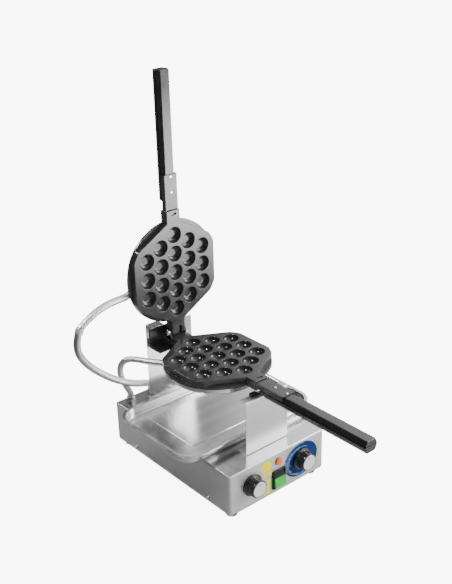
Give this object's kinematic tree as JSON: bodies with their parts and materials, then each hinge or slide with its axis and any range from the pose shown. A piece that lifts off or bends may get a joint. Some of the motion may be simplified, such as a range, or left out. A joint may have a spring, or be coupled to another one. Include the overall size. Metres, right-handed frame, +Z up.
{
  "type": "egg waffle maker",
  "caption": "Flip waffle maker: two hinged round cast plates with cups and long handles on a pivot over a steel base box with drip tray, knobs and switch.",
  "frame": {"origin": "middle of the base on the floor, at the sole of the middle foot", "axes": "+Z up, the control panel faces -Y, both handles point to -Y when the lid is shut, +X to the right seen from the panel"},
  "size_m": [0.4192, 0.6185, 0.802],
  "materials": {
    "base_steel": "brushed stainless sheet",
    "tray_steel": "bright stainless sheet",
    "inner_steel": "zinc plated sheet",
    "rubber": "matte black rubber",
    "bolts": "bright plated steel",
    "label": "printed metal label with plain blue and yellow shapes",
    "black_plastic": "matte black plastic",
    "knob_black": "semi gloss black phenolic",
    "handle_black": "semi gloss black phenolic",
    "cap_silver": "spun aluminium",
    "rocker_green": "lit green and black rocker",
    "lens_orange": "translucent orange lens",
    "thermostat_metal": "plain aluminium can",
    "terminal": "cream phenolic",
    "brass": "machined brass",
    "gland_metal": "nickel plated brass",
    "wire": "silicone insulated wire",
    "cast_iron": "coated cast iron",
    "heater": "oxidised heater sheath",
    "insulation": "white ceramic fibre board",
    "cover_steel": "polished stainless",
    "hose_braid": "braided stainless hose",
    "dark_paint": "dark enamel"
  },
  "bodies": {
    "base": {"base_shell": "base_steel", "bottom_plate": "inner_steel", "bottom_screws": "bolts", "feet": "rubber", "foot_screws": "bolts", "panel_label": "label", "front_support": "base_steel", "front_support_screws": "bolts", "rest_saddle": "black_plastic", "rear_upright": "base_steel", "upright_screws": "bolts", "pivot_bracket": "dark_paint", "bracket_bolts": "dark_paint", "pivot_bush": "dark_paint", "timer_body": "black_plastic", "thermostat_body": "thermostat_metal", "control_nuts": "bolts", "switch_body": "black_plastic", "lamp_body": "black_plastic", "lamp_lens": "lens_orange", "terminal_block": "terminal", "earth_stud": "brass", "base_glands": "gland_metal", "cord_gland": "black_plastic", "wiring": "wire", "lower_hose": "hose_braid", "upper_hose_drop": "hose_braid"},
    "tray": {"tray": "tray_steel"},
    "lower_pan": {"lower_plate": "cast_iron", "lower_heater": "heater", "lower_insulation": "insulation", "lower_cover": "cover_steel", "lower_cover_screws": "bolts", "lower_channel": "dark_paint", "lower_rivets": "bolts", "lower_handle": "handle_black", "lower_gland": "gland_metal", "hinge_pin": "bolts", "pivot_shaft": "bolts", "pivot_nut": "bolts", "hose_union": "bolts", "upper_hose_run": "hose_braid"},
    "upper_pan": {"upper_plate": "cast_iron", "upper_heater": "heater", "upper_insulation": "insulation", "upper_cover": "cover_steel", "upper_cover_screws": "bolts", "upper_channel": "dark_paint", "upper_rivets": "bolts", "upper_handle": "handle_black", "upper_gland": "gland_metal"},
    "timer_knob": {"timer_knob": "knob_black", "timer_cap": "cap_silver"},
    "thermostat_knob": {"thermostat_knob": "knob_black", "thermostat_cap": "cap_silver"},
    "rocker": {"rocker": "rocker_green"}
  },
  "joints": [
    {"name": "tray_slide", "type": "slide", "parent": "base", "child": "tray", "axis": [1, 0, 0], "range_m": [-0.12, 0.12]},
    {"name": "flip", "type": "hinge", "parent": "base", "child": "lower_pan", "pos_m": [0, 0.14, 0.2463], "axis": [0, 1, 0], "range_deg": [0, 90], "deforming": ["lower_hose", "upper_hose_drop"]},
    {"name": "lid", "type": "hinge", "parent": "lower_pan", "child": "upper_pan", "pos_m": [0, 0.1251, 0.2559], "axis": [1, 0, 0], "range_deg": [0, 90], "deforming": ["upper_hose_run"]},
    {"name": "timer_turn", "type": "hinge", "parent": "base", "child": "timer_knob", "pos_m": [-0.0705, -0.1885, 0.0608], "axis": [0, 1, 0], "range_deg": [0, 300]},
    {"name": "thermostat_turn", "type": "hinge", "parent": "base", "child": "thermostat_knob", "pos_m": [0.0625, -0.1885, 0.0608], "axis": [0, 1, 0], "range_deg": [0, 280]},
    {"name": "rocker_tilt", "type": "hinge", "parent": "base", "child": "rocker", "pos_m": [0, -0.1909, 0.043], "axis": [1, 0, 0], "range_deg": [-6, 6]}
  ]
}
